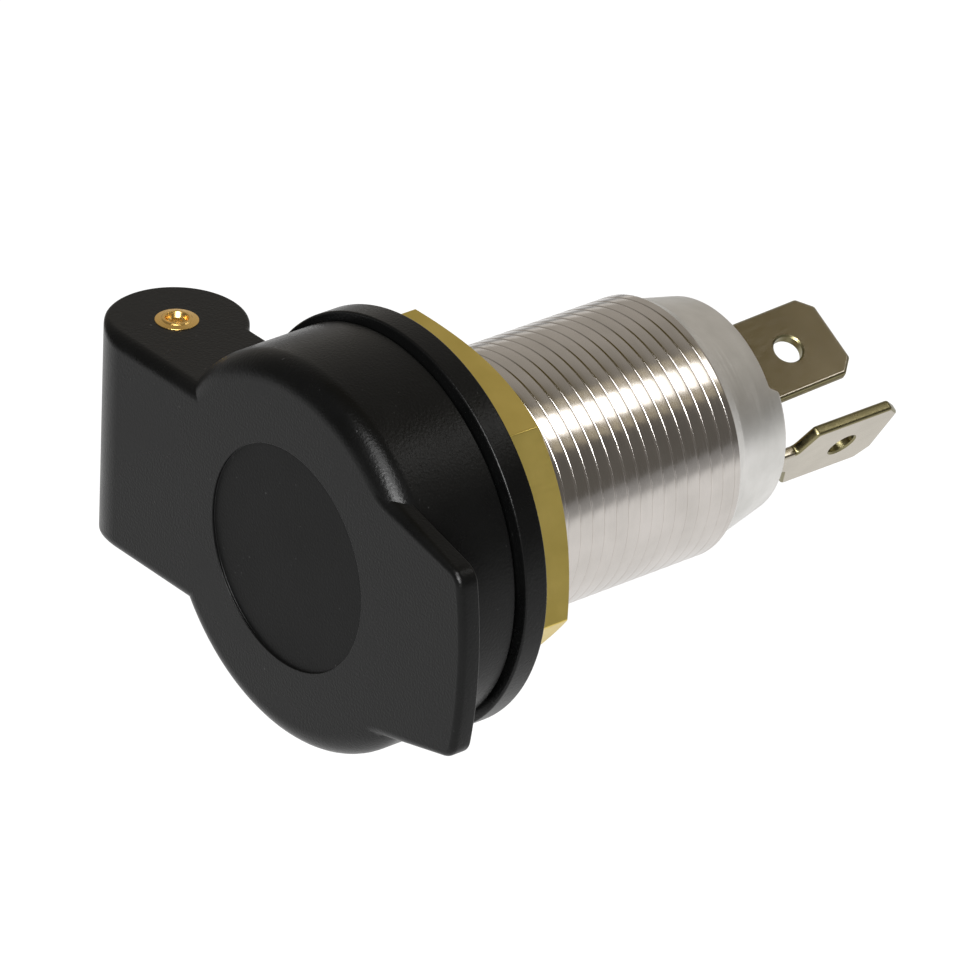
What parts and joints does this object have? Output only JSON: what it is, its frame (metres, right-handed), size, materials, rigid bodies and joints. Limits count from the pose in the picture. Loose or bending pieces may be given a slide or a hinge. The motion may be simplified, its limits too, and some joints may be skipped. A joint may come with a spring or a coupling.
{
  "type": "car 12 V power socket",
  "caption": "Slim panel-mounting 12 V power socket with a threaded metal barrel, brass lock nut, black sprung lid and blade terminals.",
  "frame": {"origin": "centre of the flange's back face, where the panel lies", "axes": "+Y along the barrel to the terminals, lid facing -Y, +Z along the hinge pin, thumb tab at +X"},
  "size_m": [0.0403, 0.0469, 0.028],
  "materials": {
    "barrel_metal": "bright turned",
    "brass": "satin",
    "pin_brass": "polished",
    "black_plastic": "satin moulded",
    "insulator_plastic": "moulded",
    "spring_steel": "drawn",
    "tinned_blade": "tinned"
  },
  "bodies": {
    "socket": {"barrel": "barrel_metal", "bezel": "black_plastic", "lid_spring": "spring_steel", "ground_ring": "spring_steel", "insulator": "insulator_plastic", "centre_contact": "brass", "positive_terminal": "tinned_blade", "negative_terminal": "tinned_blade"},
    "lid": {"lid": "black_plastic", "hinge_pin": "pin_brass"},
    "lock_nut": {"lock_nut": "brass"}
  },
  "joints": [
    {"name": "lid_hinge", "type": "hinge", "parent": "socket", "child": "lid", "pos_m": [-0.0179, -0.00525, 0], "axis": [0, 0, -1], "range_deg": [0, 105], "stiffness_Nm_per_rad": 0.02, "springref_deg": -68.75},
    {"name": "lock_nut_travel", "type": "slide", "parent": "socket", "child": "lock_nut", "axis": [0, 1, 0], "range_m": [0, 0.0161]}
  ]
}
